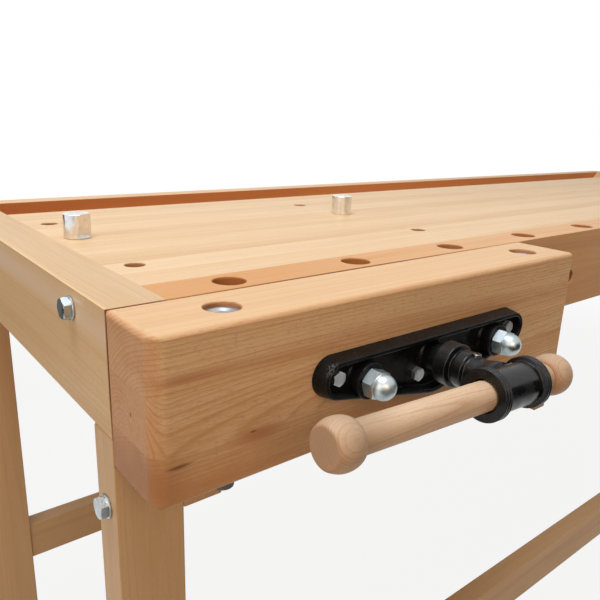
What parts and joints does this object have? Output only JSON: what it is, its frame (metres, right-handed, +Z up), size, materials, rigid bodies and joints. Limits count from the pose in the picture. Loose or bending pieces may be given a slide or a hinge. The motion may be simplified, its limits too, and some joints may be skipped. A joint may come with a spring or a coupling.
{
  "type": "woodworking bench with vises",
  "caption": "Wooden workbench with a front vise and an end vise, round metal dogs, a row of dog holes and a sunken tool tray along the back.",
  "frame": {"origin": "on the floor, under the middle of the bench's overall box", "axes": "+X along the bench from the front vise's end to the end vise, +Y from front to back, +Z up"},
  "size_m": [2.0934, 0.7918, 0.8272],
  "materials": {
    "beech": "oiled beech, satin",
    "panel_beech": "oiled strip-laminated beech, satin",
    "handle_beech": "turned beech, matt",
    "black_casting": "black enamel, semi-gloss",
    "bright_steel": "bright plated",
    "dog_steel": "turned and plated",
    "zinc_plated": "zinc plated"
  },
  "bodies": {
    "bench": {"front_beam": "beech", "top_panel": "panel_beech", "end_cap_left": "beech", "end_cap_right": "beech", "back_rail": "beech", "tray_floor": "panel_beech", "tray_ramp_left": "panel_beech", "tray_ramp_right": "panel_beech", "leg_front_left": "beech", "leg_front_right": "beech", "leg_back_left": "beech", "leg_back_right": "beech", "bearer_left": "beech", "bearer_right": "beech", "stretcher_front": "beech", "stretcher_back": "beech", "leg_bolt_front_left": "zinc_plated", "leg_bolt_front_right": "zinc_plated", "leg_bolt_back_left": "zinc_plated", "leg_bolt_back_right": "zinc_plated", "cap_bolt_front": "zinc_plated", "cap_bolt_back": "zinc_plated", "front_nut_housing": "black_casting", "end_nut_housing": "black_casting"},
    "front_jaw": {"front_jaw": "beech", "front_vise_plate": "black_casting", "front_plate_screw_1": "zinc_plated", "front_plate_screw_2": "zinc_plated", "front_plate_screw_3": "zinc_plated", "front_plate_screw_4": "zinc_plated", "front_guide_rod_left": "bright_steel", "front_guide_rod_right": "bright_steel", "front_cap_nut_left": "bright_steel", "front_cap_nut_right": "bright_steel"},
    "front_screw": {"front_spindle": "bright_steel", "front_hub": "black_casting", "front_grub_screw": "zinc_plated"},
    "front_handle": {"front_handle_bar": "handle_beech", "front_handle_knob": "handle_beech"},
    "end_jaw": {"end_jaw": "beech", "end_vise_plate": "black_casting", "end_plate_screw_1": "zinc_plated", "end_plate_screw_2": "zinc_plated", "end_plate_screw_3": "zinc_plated", "end_plate_screw_4": "zinc_plated", "end_guide_rod_left": "bright_steel", "end_guide_rod_right": "bright_steel", "end_cap_nut_left": "bright_steel", "end_cap_nut_right": "bright_steel"},
    "end_screw": {"end_spindle": "bright_steel", "end_hub": "black_casting", "end_grub_screw": "zinc_plated"},
    "end_handle": {"end_handle_bar": "handle_beech", "end_handle_knob": "handle_beech"},
    "front_dog_1": {"front_jaw_dog_1": "dog_steel"},
    "front_dog_2": {"front_jaw_dog_2": "dog_steel"},
    "end_dog": {"end_jaw_dog_1": "dog_steel"},
    "bench_dog_left": {"bench_dog_left": "dog_steel"},
    "bench_dog_right": {"bench_dog_right": "dog_steel"}
  },
  "joints": [
    {"name": "front_jaw_slide", "type": "slide", "parent": "bench", "child": "front_jaw", "axis": [0, -1, 0], "range_m": [-0.0018, 0.15]},
    {"name": "front_screw_turn", "type": "hinge", "parent": "front_jaw", "child": "front_screw", "pos_m": [-0.7641, -0.2111, 0.731], "axis": [0, -1, 0], "range_deg": [-108, 9000]},
    {"name": "front_handle_slide", "type": "slide", "parent": "front_screw", "child": "front_handle", "axis": [0.9986, 0, -0.0523], "range_m": [-0.021, 0.139]},
    {"name": "end_jaw_slide", "type": "slide", "parent": "bench", "child": "end_jaw", "axis": [1, 0, 0], "range_m": [-0.0018, 0.15]},
    {"name": "end_screw_turn", "type": "hinge", "parent": "end_jaw", "child": "end_screw", "pos_m": [0.8619, 0.0629, 0.731], "axis": [1, 0, 0], "range_deg": [-108, 9000]},
    {"name": "end_handle_slide", "type": "slide", "parent": "end_screw", "child": "end_handle", "axis": [0, 0.9986, -0.0523], "range_m": [-0.085, 0.075]},
    {"name": "front_dog_1_lift", "type": "slide", "parent": "front_jaw", "child": "front_dog_1", "axis": [0, 0, 1], "range_m": [0, 0.03]},
    {"name": "front_dog_2_lift", "type": "slide", "parent": "front_jaw", "child": "front_dog_2", "axis": [0, 0, 1], "range_m": [0, 0.03]},
    {"name": "end_dog_lift", "type": "slide", "parent": "end_jaw", "child": "end_dog", "axis": [0, 0, 1], "range_m": [0, 0.03]},
    {"name": "bench_dog_left_lift", "type": "slide", "parent": "bench", "child": "bench_dog_left", "axis": [0, 0, 1], "range_m": [0, 0.05]},
    {"name": "bench_dog_right_lift", "type": "slide", "parent": "bench", "child": "bench_dog_right", "axis": [0, 0, 1], "range_m": [0, 0.05]}
  ],
  "couplings": [
    {"joint": "front_jaw_slide", "follows": "front_screw_turn", "m_per_rad": 0.00095492},
    {"joint": "end_jaw_slide", "follows": "end_screw_turn", "m_per_rad": 0.00095492}
  ]
}
